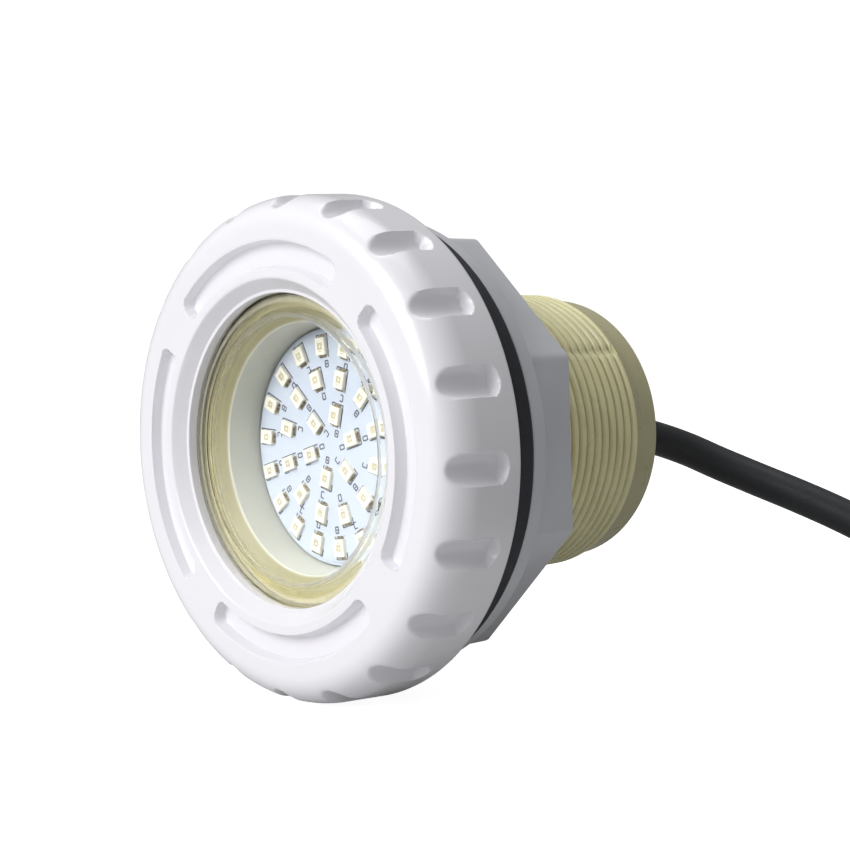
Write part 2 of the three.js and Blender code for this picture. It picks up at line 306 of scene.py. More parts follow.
def threaded_cream():
    """Cream plastic with painted shade darkening its thread's valleys, and a darker, browner band past the
    thread's end.
    """
    cream, painted_valley_shade, end_brown = (0.88, 0.84, 0.51), (0.30, 0.26, 0.09), (0.57, 0.54, 0.34)
    crest, bottom = THREAD["radius"] - 0.15, THREAD["radius"] - THREAD["depth"] - 0.1
    band_start, band_full = THREAD["end"] + 0.1, THREAD["end"] + 0.6
    material = surface("threaded_cream", cream, 0.34, 0.05, 90, 0.12, 0.35, wear=0.3)
    tree = material.node_tree
    # painted shade: the thread's valleys are darkened towards their bottoms
    tint(material, painted_valley_shade, between(tree, axis_distance(tree), crest, bottom, most=0.85))
    # a darker, browner band from just past the thread's end on
    tint(material, end_brown, between(tree, along_axis(tree), band_start, band_full, most=0.8))
    return material


def lens_band(tree, inner, outer, edge, most=1.0):
    """A soft-edged ring on the lens, from one distance from the axis to another."""
    distance = axis_distance(tree)
    risen = between(tree, distance, inner, inner + edge, most)
    fallen = between(tree, distance, outer - edge, outer, most)
    return calculated(tree, "SUBTRACT", risen, fallen)


def lens_roughness(tree):
    """Polished, with a faint smear and a frosted ring where the moulded channel is."""
    smear = ranged(tree, noise_at(tree, 300), 0.0, 0.03)
    return calculated(tree, "MAXIMUM", smear, lens_band(tree, 25.75, 26.65, edge=0.12, most=0.55))


def lens_milkiness(tree):
    """Clear but for a mottled rim, which ends just behind the face ring's lip."""
    blotches = ranged(tree, noise_at(tree, 500), 0.37, 0.5)
    return calculated(tree, "MULTIPLY", lens_band(tree, 28.3, RING_OPENING + 0.5, edge=0.8), blotches)


def clear_plastic(name, colour, rim_colour):
    """Clear moulded plastic that bends the view and lets the lamps' light through."""
    material, tree = new_tree(name)
    inputs = {
        "Base Color": (*colour, 1),
        "Transmission Weight": 1,
        "IOR": 1.56,
        "Roughness": lens_roughness(tree),
        "Normal": bumped(tree, 0.02, noise_at(tree, 90)),
    }
    clear = add_node(tree, "BsdfPrincipled", inputs)
    milk = add_node(tree, "BsdfPrincipled", {"Base Color": (*rim_colour, 1), "Roughness": 0.3})
    through = add_node(tree, "BsdfTransparent", {"Color": (*[c**0.5 for c in colour], 1)})
    in_shadow = add_node(tree, "LightPath").outputs["Is Shadow Ray"]
    body = mixed(tree, lens_milkiness(tree), clear, milk)
    finish_tree(tree, mixed(tree, in_shadow, body, through))
    return material


# The plain slots: colour, roughness, mottle, blotches a metre, grain and the grain's size.
PLAIN_LOOKS = {
    "nut_grey": ((0.63, 0.64, 0.68), 0.5, 0.05, 60, 0.22, 0.3),
    "seal_rubber": ((0.022, 0.024, 0.032), 0.62, 0.2, 120, 0.3, 0.4),
    "washer_white": ((0.75, 0.75, 0.72), 0.4, 0.03, 80, 0.1, 0.3),
    "board_white": ((0.555, 0.62, 0.75), 0.4, 0.02, 150, 0.05, 0.25),
    "led_package": ((0.90, 0.87, 0.76), 0.3, 0.02, 200, 0.05, 0.2),
    "driver_green": ((0.03, 0.2, 0.08), 0.35, 0.1, 200, 0.08, 0.3),
    "part_black": ((0.02, 0.02, 0.022), 0.45, 0.15, 200, 0.2, 0.25),
    "capacitor_sleeve": ((0.03, 0.05, 0.22), 0.25, 0.05, 150, 0.05, 0.4),
    "fuse_ceramic": ((0.7, 0.7, 0.66), 0.25, 0.04, 150, 0.05, 0.4),
    "wire_red": ((0.45, 0.02, 0.02), 0.3, 0.08, 200, 0.05, 0.3),
    "gland_black": ((0.03, 0.03, 0.034), 0.42, 0.15, 90, 0.25, 0.35),
    "lead_black": ((0.020, 0.022, 0.026), 0.48, 0.2, 80, 0.25, 0.5),
    "tie_black": ((0.03, 0.03, 0.033), 0.85, 0.3, 400, 0.9, 0.5),
    "core_brown": ((0.16, 0.06, 0.025), 0.3, 0.08, 150, 0.05, 0.4),
    "core_blue": ((0.02, 0.07, 0.4), 0.3, 0.08, 150, 0.05, 0.4),
}
METAL_LOOKS = {
    "spreader": ((0.72, 0.73, 0.75), 0.35, 0.05, 200, 0.2, 0.2),
    "pillar_brass": ((0.75, 0.58, 0.28), 0.3, 0.06, 200, 0.1, 0.2),
    "screw_steel": ((0.6, 0.6, 0.62), 0.28, 0.06, 200, 0.15, 0.15),
}


def make_materials():
    """One material for each of the record's slots."""
    white, clear, milky = (0.835, 0.825, 0.865), (0.985, 0.985, 0.965), (0.86, 0.82, 0.60)
    materials = {name: surface(name, *look) for name, look in PLAIN_LOOKS.items()}
    materials |= {name: surface(name, *look, metal=1) for name, look in METAL_LOOKS.items()}
    materials["ring_white"] = surface("ring_white", white, 0.26, 0.012, 40, 0.04, 0.9, coat=0.3, wear=0.02)
    materials["lens_clear"] = clear_plastic("lens_clear", clear, milky)
    materials["body_cream"] = threaded_cream()
    return materials


# ---------------------------------------------------------------- meshes


def rounded(corners, radius=0.25, steps=3):
    """An outline with its corners rounded. A corner is (r, y), or (r, y, radius) with its own radius.

    The outline closes on itself, unless it starts on the axis. No corner takes more of a side than
    most_of_side, so that two never meet.
    """
    most_of_side = 0.45
    places = [np.array(c[:2], float) for c in corners]
    radii = [c[2] if len(c) > 2 else radius for c in corners]
    points = []
    for i, (here, size) in enumerate(zip(places, radii)):
        before, after = places[i - 1] - here, places[(i + 1) % len(places)] - here
        if size == 0 or here[0] == 0:
            points.append(here)
            continue
        lengths = np.linalg.norm(before), np.linalg.norm(after)
        before, after = before / lengths[0], after / lengths[1]
        half = math.acos(max(-1, min(1, before @ after))) / 2
        reach = min(size / math.tan(half), most_of_side * min(lengths))
        start, end = here + before * reach, here + after * reach
        for t in np.linspace(0, 1, steps + 1):
            points.append((1 - t) ** 2 * start + 2 * t * (1 - t) * here + t * t * end)
    return np.array(points)


def divided(outline, step, wanted):
    """The outline with the sides that wanted picks cut into steps."""
    points = []
    count = len(outline)
    for i in range(count):
        start, end = outline[i], outline[(i + 1) % count]
        parts = 1
        if wanted(start, end):
            parts = max(1, math.ceil(np.linalg.norm(end - start) / step))
        points += [start + (end - start) * k / parts for k in range(parts)]
    return np.array(points)


def angles(columns):
    """The directions of a turned mesh's columns, as a row."""
    return (np.arange(columns) * 2 * math.pi / columns)[None, :]


def grid_points(radius, y, theta):
    """Points of a surface about the Y axis from its radii and places, each rows by columns."""
    radius, y, theta = np.broadcast_arrays(radius, y, theta)
    return np.stack([radius * np.cos(theta), y, radius * np.sin(theta)], axis=-1)


def grid_mesh(name, points, closed=True):
    """A mesh of rows by columns of points in millimetres. It closes round the columns, and round the
    rows too unless the first and last rows are at the axis."""
    rows, columns = points.shape[:2]
    row = np.arange(rows if closed else rows - 1)[:, None]
    column = np.arange(columns)[None, :]
    after, aside = (row + 1) % rows, (column + 1) % columns
    faces = np.stack(
        [
            row * columns + column,
            row * columns + aside,
            after * columns + aside,
            after * columns + column,
        ],
        axis=-1,
    ).reshape(-1, 4)
    mesh = bpy.data.meshes.new(name)
    mesh.from_pydata((points.reshape(-1, 3) * MM).tolist(), [], faces.tolist())
    tidy_mesh(mesh, merge=not closed)
    return mesh


def tidy_mesh(mesh, merge=False):
    """Faces point out, edges over the crease angle stay sharp, and points at one place can merge."""
    crease, same_place = 35, 1e-7
    work = bmesh.new()
    work.from_mesh(mesh)
    if merge:
        bmesh.ops.remove_doubles(work, verts=work.verts, dist=same_place)
    bmesh.ops.recalc_face_normals(work, faces=work.faces)
    work.to_mesh(mesh)
    work.free()
    mesh.shade_smooth()
    mesh.set_sharp_from_angle(angle=math.radians(crease))


def turned(name, outline, columns=180):
    """An outline turned about the Y axis."""
    points = grid_points(outline[:, :1], outline[:, 1:], angles(columns))
    return grid_mesh(name, points, closed=outline[0][0] > 0)


def smoothstep(low, high, value):
    """From 0 at low to 1 at high, softly. It falls where low is over high."""
    t = np.clip((value - low) / (high - low), 0, 1)
    return t * t * (3 - 2 * t)


def from_nearest(theta, count, phase):
    """The angle from the nearest of evenly spaced directions, one of them at the phase in degrees."""
    step = 2 * math.pi / count
    return (theta - math.radians(phase) + step / 2) % step - step / 2


def polygon_radius(theta, sides, inner, corner, phase):
    """The radius of a polygon with rounded corners. inner is half its width across flats, and phase
    is the direction of one corner in degrees."""
    half_side = math.pi / sides
    from_corner = np.abs(from_nearest(theta, sides, phase))
    flat = inner / np.cos(half_side - from_corner)
    middle = (inner - corner) / math.cos(half_side)
    reach = np.maximum(corner**2 - (middle * np.sin(from_corner)) ** 2, 0)
    bend = middle * np.cos(from_corner) + np.sqrt(reach)
    touches = math.atan2(corner * math.sin(half_side), middle + corner * math.cos(half_side))
    return np.where(from_corner < touches, bend, flat)


def faceted(name, outline, is_faceted, sides, inner, corner, phase, columns):
    """A turned outline whose marked rows follow a polygon. The outline is the section through the
    middle of a side."""
    theta = angles(columns)
    stretch = polygon_radius(theta, sides, inner, corner, phase) / inner
    marked = is_faceted(outline[:, 0], outline[:, 1])[:, None]
    radius = outline[:, :1] * np.where(marked, stretch, 1)
    return grid_mesh(name, grid_points(radius, outline[:, 1:], theta), closed=outline[0][0] > 0)


def cut_thread(radius, y, theta, thread):
    """The radius of a crest with a right-hand thread's valleys cut into it. They fade out at the
    thread's ends."""
    half_width, steepness = 0.27, 1.15
    pitch, start, end = thread["pitch"], thread["start"], thread["end"]
    turn = (y / pitch - theta / (2 * math.pi)) % 1
    valley = np.clip(steepness * (1 - np.abs(turn - 0.5) / half_width), 0, 1)
    valley = valley * smoothstep(start, start + pitch / 2, y) * smoothstep(end, end - pitch / 2, y)
    on_crest = np.abs(radius - thread["radius"]) < 1e-6
    return np.where(on_crest, thread["radius"] - thread["depth"] * valley, radius)


def joined(name, parts):
    """One mesh of several (points, faces) lists."""
    points, faces = [], []
    for part_points, part_faces in parts:
        faces += [tuple(i + len(points) for i in face) for face in part_faces]
        points += list(part_points)
    mesh = bpy.data.meshes.new(name)
    mesh.from_pydata([tuple(np.array(p) * MM) for p in points], [], faces)
    tidy_mesh(mesh)
    return mesh


def lofted(rings):
    """A closed solid through rings of equally many points."""
    count = len(rings[0])
    points = [p for ring in rings for p in ring]
    faces = [tuple(range(count))[::-1], tuple(range(len(points) - count, len(points)))]
    for level in range(len(rings) - 1):
        for i in range(count):
            low, high = level * count, (level + 1) * count
            after = (i + 1) % count
            faces.append((low + i, low + after, high + after, high + i))
    return points, faces


# ---------------------------------------------------------------- putting pieces in place

SLOTS = {part["node"]: part["material_slot"] for part in frame["record"]["subparts"]}
MATERIALS = make_materials()


def place(name, data, body, slot, material=None):
    """A finished piece on a CAD body, in the look of one of the record's slots or in its own."""
    thing = add_object(name, data)
    data.materials.append(material or MATERIALS[slot])
    if thing.type == "MESH":
        weighted = thing.modifiers.new("even_normals", "WEIGHTED_NORMAL")
        weighted.keep_sharp = True
    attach(thing, body)
    return thing


def stand_in(node, data, material=None):
    """A finished piece in the place of one CAD node."""
    thing = place("fine_" + node, data, frame["nodes"][node]["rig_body"], SLOTS[node], material)
    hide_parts(node)
    return thing


# ---------------------------------------------------------------- the lead


def lead_route():
    """The lead from the gland to the coil, in millimetres."""
    return [
        (0, 44, 0),
        (0, 55, 0),
        (0, 66, 0),
        (0.8, 76, -1.1),
        (3.2, 84.6, -3.3),
        (8, 91.6, -6.3),
        (15, 97, -10.4),
        (23, 101, -14.2),
        (32, 104.6, -18.1),
        (41, 108, -22.3),
        (50, 111, -27),
        (60, 113.2, -32.5),
        (70, 114.9, -37.6),
        (80, 116, -41.5),
        (90, 116.7, -43.8),
        (101, 117, -44.6),
    ]


def coil_lane(angle):
    """The radius and the height of the lead's middle where the coil's winding is at an angle. It
    changes lane five times, each over the angle that a change takes: in, up, out, up and in again."""
    first, apart, takes = -200, 318, 47
    inner, outer, layer = COIL["inner"], COIL["outer"], COIL["layer"]
    lanes = [(outer, 0), (inner, 0), (inner, layer), (outer, layer), (outer, 2 * layer), (inner, 2 * layer)]
    radius, height = lanes[0]
    for i, (next_radius, next_height) in enumerate(lanes[1:]):
        start = first - i * apart
        share = float(smoothstep(0, takes, start - angle))
        radius += (next_radius - lanes[i][0]) * share
        height += (next_height - lanes[i][1]) * share
    return radius, height


def at_coil(angle, radius, z):
    """A point at an angle and a radius about the coil's middle."""
    turn = math.radians(angle)
    return (COIL["x"] + radius * math.cos(turn), COIL["y"] + radius * math.sin(turn), z)


def coil_points(steps_a_turn=18):
    """The coil's winding, clockwise seen from above."""
    count = math.ceil((COIL_START - COIL_END) / 360 * steps_a_turn)
    points = []
    for angle in np.linspace(COIL_START, COIL_END, count + 1):
        radius, height = coil_lane(angle)
        points.append(at_coil(angle, radius, COIL["low"] + height))
    return points


def round_curve(name, points, radius):
    """A round cord along a smooth line through the points, in millimetres."""
    steps_between_points, steps_round_quarter = 6, 6
    curve = bpy.data.curves.new(name, "CURVE")
    curve.dimensions = "3D"
    curve.bevel_depth = radius * MM
    curve.bevel_resolution = steps_round_quarter
    curve.resolution_u = steps_between_points
    curve.use_fill_caps = True
    spline = curve.splines.new("BEZIER")
    spline.bezier_points.add(len(points) - 1)
    for knot, point in zip(spline.bezier_points, points):
        knot.co = Vector(point) * MM
        knot.handle_left_type = knot.handle_right_type = "AUTO"
    return curve


def make_lead():
    curve = round_curve("fine_cable", lead_route() + coil_points(), CABLE_RADIUS)
    lead = place("fine_cable", curve, "housing", "lead_black")
    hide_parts("cable", "cable_coil")
    return lead


def core_points(aside, above):
    """A stripped core from the lead's cut end, up over the outer turn and along it. It starts aside of
    the lead's middle and above it."""
    begins, sweep = 2, 50
    rise_start, rise_end = 0.03, 0.36
    lane_radius, height = coil_lane(COIL_END)
    start_radius = lane_radius + 0.6 * aside
    end_radius = COIL["outer"] + aside
    low = COIL["low"] + height + above
    high = COIL["low"] + 2 * COIL["layer"] + CABLE_RADIUS + CORE_RADIUS
    points = []
    for t in np.linspace(0, 1, 15):
        rise = float(smoothstep(rise_start, rise_end, t))
        radius = start_radius + (end_radius - start_radius) * rise
        points.append(at_coil(COIL_END + begins - sweep * t, radius, low + (high - low) * rise))
    return points


def make_cores():
    """The two stripped cores, each with a tinned end."""
    cores, tips = [], []
    for node, aside, above in (("core_brown", -1.4, 0.6), ("core_blue", 1.2, -0.6)):
        points = core_points(aside, above)
        core = stand_in(node, round_curve("fine_" + node, points[:-2], CORE_RADIUS))
        cores.append(core)
        tip = round_curve("tip_of_" + node, points[-3:], CORE_RADIUS * 0.6)
        tips.append(place("tip_of_" + node, tip, "housing", "screw_steel"))
    return cores + tips


def at_tie(radius, side, z):
    """A point of the tie: how far from the coil's middle, how far to one side, and how high."""
    angle = math.radians(TIE_ANGLE)
    along = np.array([math.cos(angle), math.sin(angle)])
    across = np.array([-along[1], along[0]])
    x, y = along * radius + across * side + np.array([COIL["x"], COIL["y"]])
    return np.array([x, y, z])


def strap_loop(low_corner, high_corner, bend):
    """The strap's way round the coil's section: the middles of its bends, and directions from them."""
    loop = []
    quarter = math.pi / 2
    for k, (outer, upper) in enumerate(((1, 1), (0, 1), (0, 0), (1, 0))):
        middle = np.where((outer, upper), high_corner - bend, low_corner + bend)
        for t in np.linspace(0, quarter, 7):
            outward = np.array([math.cos(k * quarter + t), math.sin(k * quarter + t)])
            loop.append((middle, outward))
    return loop


def lapped_end(z, thickness):
    """The strap's end on top of the coil: six corners, wider in the middle of its thickness."""
    start, corner, end, cut = 35.5, 44.5, 46.0, 1.5
    rings = []
    for lift, half_width in ((0, 3.6), (thickness / 2, 3.9), (thickness, 3.6)):
        ring = [
            (start, -half_width),
            (corner, -half_width),
            (end, cut - half_width),
            (end, half_width - cut),
            (corner, half_width),
            (start, half_width),
        ]
        rings.append([tuple(at_tie(radius, side, z + lift)) for radius, side in ring])
    return lofted(rings)


def make_tie():
    """A woven strap round the coil's six lanes, with its end lapped over on top."""
    thickness, half_width, bend, gap = 0.7, 4.0, 4.4, 0.2
    reach = CABLE_RADIUS + gap
    low_corner = np.array([COIL["inner"] - reach, COIL["low"] - reach])
    high_corner = np.array([COIL["outer"] + reach, COIL["low"] + 2 * COIL["layer"] + reach])
    loop = strap_loop(low_corner, high_corner, bend)
    section = [
        (0, -half_width),
        (0, half_width),
        (thickness * 0.6, half_width + 0.1),
        (thickness, half_width - 0.3),
        (thickness, 0.3 - half_width),
        (thickness * 0.6, -half_width - 0.1),
    ]
    rows = []
    for out, side in section:
        around = [middle + outward * (bend + out) for middle, outward in loop]
        rows.append([at_tie(radius, side, z) for radius, z in around])
    tie = stand_in("coil_tie", grid_mesh("fine_coil_tie", np.array(rows)))

    end = joined("tie_lapped_end", [lapped_end(high_corner[1] + thickness, thickness)])
    return [tie, place("tie_lapped_end", end, "housing", "tie_black")]


# ---------------------------------------------------------------- the lamp's front


def face_ring_outline():
    """The ring's section: a bevel round the opening, a flat front, a rounded shoulder, the outer wall
    and the hollow that the thread is in."""
    shoulder_start, shoulder_end, wall, fullness = 43.0, -16.4, RING_RADIUS - 0.4, 0.94
    shoulder = []
    for t in np.linspace(0, math.pi / 2, 25):
        radius = shoulder_start + (wall - shoulder_start) * math.sin(t) ** fullness
        y = shoulder_end + (RING_FRONT - shoulder_end) * math.cos(t)
        shoulder.append((radius, y, 0))
    hollow_radius, hollow_front = COLLAR["radius"] + 0.4, -19.8
    corners = [
        (RING_OPENING, hollow_front, 0.3),
        (RING_OPENING, -21.9, 0.2),
        (RING_OPENING + 0.65, -21.95, 0.15),
        (33.2, RING_FRONT, 0.7),
        *shoulder,
        (RING_RADIUS, RING_REAR, 0.5),
        (hollow_radius, RING_REAR, 0.5),
        (hollow_radius, hollow_front, 0.5),
    ]

    def has_detail(start, end):
        on_wall = min(start[0], end[0]) > 33.3 and start[0] > 45
        return on_wall or end[1] < -23

    return divided(rounded(corners), 0.3, has_detail)


def cut_flutes(radius, y, theta):
    """The outer wall's radius where round grooves are cut into it, each ending in a sloped wall."""
    f = FLUTES
    softness, clear_of_wall, wall_start = 0.2, 10, 44.9
    from_middle = from_nearest(theta, f["count"], f["phase"])
    towards_front = np.clip((f["end"] - y) / (f["end"] - RING_FRONT), 0, 1)
    depth = f["depth"] + (f["front_depth"] - f["depth"]) * towards_front
    axis = RING_RADIUS - depth + f["cutter"]
    across = axis * np.sin(from_middle)
    groove = axis * np.cos(from_middle) - np.sqrt(np.maximum(f["cutter"] ** 2 - across**2, 0))
    groove = np.where(np.abs(across) < f["cutter"], groove, axis + clear_of_wall)
    end = f["end"] - f["roundness"] * np.minimum(across / f["cutter"], 1) ** 2
    groove = groove + (depth + 1.5) * smoothstep(end - f["slope"], end + 0.2, y)
    cut = -softness * np.logaddexp(-radius / softness, -groove / softness)
    return np.where(radius > wall_start, cut, radius)


def pocket_depth(radius, y, theta):
    """How deep the front face is pressed in: four curved pockets with rounded ends."""
    p = POCKETS
    corner, wall, wall_start = 1.9, 0.85, -0.25
    from_middle = from_nearest(theta, p["count"], p["phase"])
    half_length = math.radians(p["half_angle"]) * p["middle"]
    along = np.abs(from_middle) * p["middle"] - (half_length - corner)
    across = np.abs(radius - p["middle"]) - (p["half_width"] - corner)
    outside = np.hypot(np.maximum(along, 0), np.maximum(across, 0))
    distance = outside + np.minimum(np.maximum(along, across), 0) - corner
    on_front = (y < RING_FRONT + 0.3) & (radius > 33.5) & (radius < 42)
    return np.where(on_front, p["depth"] * smoothstep(wall_start, wall_start + wall, -distance), 0)


def make_face_ring():
    outline = face_ring_outline()
    theta = angles(720)
    radius, y = outline[:, :1], outline[:, 1:]
    wall = cut_flutes(radius, y, theta)
    points = grid_points(wall, y + pocket_depth(radius, y, theta), theta)
    stand_in("face_ring", grid_mesh("fine_face_ring", points))


def make_lens():
    """A window with a shallow channel near its rim, and the flange that the face ring clamps."""
    front, rear, flange = span("lens")
    channel_bottom, flange_front, window_rear = front + 0.1, front + 1.7, rear - 1.4
    seat = 29.3
    corners = [
        (0, front),
        (25.7, front, 0.1),
        (25.9, channel_bottom, 0.1),
        (26.5, channel_bottom, 0.1),
        (26.7, front, 0.1),
        (27.2, front + 0.02, 0),
        (28.2, front + 0.1, 0),
        (29.2, front + 0.3, 0),
        (LENS_RIM, front + 0.7, 0.1),
        (LENS_RIM, flange_front, 0.15),
        (flange, flange_front),
        (flange, rear),
        (seat, rear),
        (seat, window_rear, 0.15),
        (0, window_rear),
    ]
    stand_in("lens", turned("fine_lens", rounded(corners), 200))


def make_lamp_cup():
    """The insert's cup, greyer than the niche and olive at its mouth."""
    front, rear, flange = span("lamp_cup")
    flange_front, flange_rear, shoulder = front + 1.4, front + 4.4, front + 10
    cone_end, groove_bottom, board_seat = front + 2.4, flange_front + 2.2, -1.7
    rim, neck, wall, bore = 29, 27.9, 24.9, 22.2
    groove_inner, groove_outer = SEAL_GROOVE["inner"], SEAL_GROOVE["outer"]
    corners = [
        (24.64, cone_end, 0.4),
        (27.3, front, 0.4),
        (rim, front),
        (rim, flange_front),
        (groove_inner, flange_front),
        (groove_inner, groove_bottom),
        (groove_outer, groove_bottom),
        (groove_outer, flange_front),
        (flange, flange_front),
        (flange, flange_rear),
        (neck, flange_rear),
        (neck, shoulder),
        (wall, shoulder),
        (wall, rear),
        (bore, rear),
        (bore, board_seat),
        (23.9, board_seat),
        (23.95, -7),
    ]
    grey_cream, olive = (0.65, 0.66, 0.59), (0.34, 0.315, 0.17)
    cup = surface("cup_cream", grey_cream, 0.4, 0.03, 90, 0.08, 0.35)
    tree = cup.node_tree
    tint(cup, olive, between(tree, along_axis(tree), cone_end, cone_end - 0.5))
    stand_in("lamp_cup", turned("fine_lamp_cup", rounded(corners), 200), cup)


def make_lens_sealant():
    """The bead of sealant that the lens sits on."""
    seat = span("lamp_cup")[0]
    inner, outer, front, rear = 27.5, 29.2, seat - 0.22, seat + 0.05
    bead = [(inner, front, 0.1), (outer, front, 0.1), (outer, rear), (inner, rear)]
    look = surface("lens_sealant", (0.41, 0.375, 0.18), 0.3, 0.12, 160, 0.2, 0.8, coat=0.5)
    place("lens_sealant", turned("lens_sealant", rounded(bead), 160), "housing", "body_cream", look)


# ---------------------------------------------------------------- the LED board


def on_board(points, angle, radius, front):
    """Points of (outwards, across, up) at a package's place, as points in the lamp's frame."""
    turn = math.radians(angle)
    outwards = np.array([math.cos(turn), 0, math.sin(turn)])
    across = np.array([-math.sin(turn), 0, math.cos(turn)])
    up = np.array([0, -1, 0])
    middle = outwards * radius - up * front
    return [middle + outwards * p[0] + across * p[1] + up * p[2] for p in points]


def rectangle(half_out, half_across, up, middle=(0, 0)):
    """Four corners on a package's place, at a height over the board."""
    corners = ((-1, -1), (1, -1), (1, 1), (-1, 1))
    return [(middle[0] + half_out * a, middle[1] + half_across * b, up) for a, b in corners]


def slab(half_out, half_across, low, high, middle=(0, 0)):
    """A thin block with a small bevel round its top."""
    bevel = min(0.08, 0.3 * (high - low), 0.3 * half_across, 0.3 * half_out)
    return lofted(
        [
            rectangle(half_out, half_across, low, middle),
            rectangle(half_out, half_across, high - bevel, middle),
            rectangle(half_out - bevel, half_across - bevel, high, middle),
        ]
    )


def led_places():
    """Each package's direction from the board's middle and its distance from it."""
    for count, radius in LED_RINGS:
        for i in range(count):
            yield LED_PHASE + i * 360 / count, radius


def for_each_led(shapes_of, front):
    """The same shapes at each package's place. shapes_of takes the package's number."""
    parts = []
    for number, (angle, radius) in enumerate(led_places()):
        for points, faces in shapes_of(number):
            parts.append((on_board(points, angle, radius, front), faces))
    return parts


def led_body(_number):
    """The white package, with a square well in its top."""
    out, across, tall = LED_SIZE[0] / 2, LED_SIZE[1] / 2, LED_SIZE[2]
    well, edge = 0.72, 0.1
    rings = [
        rectangle(out, across, 0),
        rectangle(out, across, tall - 0.14),
        rectangle(out - edge, across - edge, tall),
        rectangle(well, well, tall),
        rectangle(well - 0.06, well - 0.06, tall - 0.16),
    ]
    return [lofted(rings)]


def led_window(_number):
    """The gel in the well and the slot beside it."""
    tall = LED_SIZE[2]
    return [
        slab(0.65, 0.65, tall - 0.2, tall - 0.08),
        slab(0.12, 0.42, tall - 0.1, tall + 0.02, (-1.05, 0)),
    ]


def led_chip(_number):
    """The chip that shows in the gel."""
    tall = LED_SIZE[2]
    return [slab(0.28, 0.22, tall - 0.12, tall - 0.05)]


def led_terminals(_number):
    """Solder and tabs at both ends of the package."""
    out = LED_SIZE[0] / 2
    shapes = []
    for side in (-1, 1):
        shapes.append(slab(0.38, 1.05, 0, 0.1, (side * (out + 0.22), 0)))
        shapes.append(slab(0.14, 0.85, 0, 0.52, (side * (out + 0.06), 0)))
    return shapes


def led_marks(number):
    """Dark bars beside a package, along one long side, its outer end and a little of the other side, as
    painted shadow edges; and a printed plain box or bracket at its inner corner.
    """
    line, thick = 0.13, 0.025
    out, across = LED_SIZE[0] / 2 + 0.55, LED_SIZE[1] / 2 + 0.22
    # painted shadow edges: dark bars along one long side and the outer end, and a short one on the other
    # side
    shade_and_print_bars = [(out, line, 0, -across), (line, across, out, 0), (out * 0.3, line, out * 0.7, across)]
    half_height, half_width = 0.62, 0.42
    box = [
        (half_height, line, 0, half_width),
        (half_height, line, 0, -half_width),
        (line, half_width, half_height, 0),
        (line, half_width, -half_height, 0),
    ]
    dotted_box, bracket = box + [(0.2, 0.16, 0, 0)], box[1:]
    kinds = [box, dotted_box, bracket]
    mark_out, mark_across = -out - 1.25, -0.8
    shade_and_print_bars += [(a, b, mark_out + c, mark_across + d) for a, b, c, d in kinds[number % len(kinds)]]
    return [slab(half_out, half_across, 0, thick, (x, y)) for half_out, half_across, x, y in shade_and_print_bars]


def led_vias(number):
    """A small plated hole beside each package."""
    radius, thick, directions = 0.16, 0.02, angles(8)[0]
    away = -2.4 if number % 2 else -2.0
    aside = 1.3 if number % 3 else -1.5
    rings = []
    for up in (0, thick):
        rings.append([(away + radius * math.cos(t), aside + radius * math.sin(t), up) for t in directions])
    return [lofted(rings)]


def make_led_board():
    """The board, the white layer on it, and the packages with their prints, painted shadow edges, solder
    and holes.
    """
    board_front, board_rear, board_radius = span("led_board")
    front, rear = span("led_array")[0] + LED_SIZE[2], board_front - 0.1
    edge = 0.15
    board = [
        (0, board_front),
        (board_radius, board_front, edge),
        (board_radius, board_rear, edge),
        (0, board_rear),
    ]
    layer = [(0, front), (BOARD_RADIUS, front, 0.1), (BOARD_RADIUS, rear), (0, rear)]
    stand_in("led_board", turned("fine_led_board", rounded(board), 120))
    place("solder_mask", turned("solder_mask", rounded(layer), 120), "housing", "board_white")
    stand_in("led_array", joined("fine_led_array", for_each_led(led_body, front)))

    gel = surface("led_gel", (0.62, 0.57, 0.42), 0.25, 0.1, 300, 0.05, 0.2, coat=0.6)
    chip = surface("led_chip", (0.80, 0.76, 0.60), 0.3, 0.1, 300, 0.05, 0.2, metal=0.4)
    tin = surface("terminal_tin", (0.42, 0.38, 0.30), 0.28, 0.12, 400, 0.3, 0.15, metal=0.9)
    # dark print, and the painted shadow edges beside the packages
    ink_and_shade = surface("board_ink_and_painted_shade", (0.035, 0.04, 0.06), 0.5, 0.2, 300, 0.05, 0.2)
    plating = surface("via_plating", (0.55, 0.42, 0.45), 0.4, 0.1, 300, 0.05, 0.2)
    for name, shapes, look in (
        ("led_windows", led_window, gel),
        ("led_chips", led_chip, chip),
        ("led_terminals", led_terminals, tin),
        ("board_marks_and_painted_shade", led_marks, ink_and_shade),
        ("board_vias", led_vias, plating),
    ):
        place(name, joined(name, for_each_led(shapes, front)), "housing", "led_package", look)


# ---------------------------------------------------------------- the niche, its seal and its nut


def niche_outline():
    """The niche's section: the collar, the wall flange, the conduit and the seats of the insert."""
    front, rear, flange = span("niche_body")
    flange_front, flange_rear, seat, seal_seat, bore_front = -7.6, -4.2, -11.7, -9.5, -6
    collar, crest = COLLAR["radius"], THREAD["radius"]
    collar_bore, conduit, bore, recess = 41.2, 28.5, 25.4, 28.2
    groove_inner, groove_outer = SEAL_GROOVE["inner"], SEAL_GROOVE["outer"]
    corners = [
        (collar_bore, front, 0.4),
        (collar, front, 0.6),
        (collar, flange_front, 0.3),
        (flange, flange_front, 0.5),
        (flange, flange_rear, 0.5),
        (crest, flange_rear, 0.3),
        (crest, THREAD["end"] - 0.3, 0.15),
        (conduit, THREAD["end"] + 0.2, 0.15),
        (conduit, rear, 0.5),
        (bore, rear, 0.6),
        (bore, bore_front, 0.4),
        (recess, bore_front),
        (recess, seat),
        (groove_inner, seat),
        (groove_inner, seal_seat),
        (groove_outer, seal_seat),
        (groove_outer, seat),
        (collar_bore, seat),
    ]

    def on_conduit(start, end):
        return start[0] == end[0] == crest

    def on_collar(start, end):
        return start[0] == end[0] == collar

    return divided(divided(rounded(corners), 0.19, on_conduit), 0.25, on_collar)


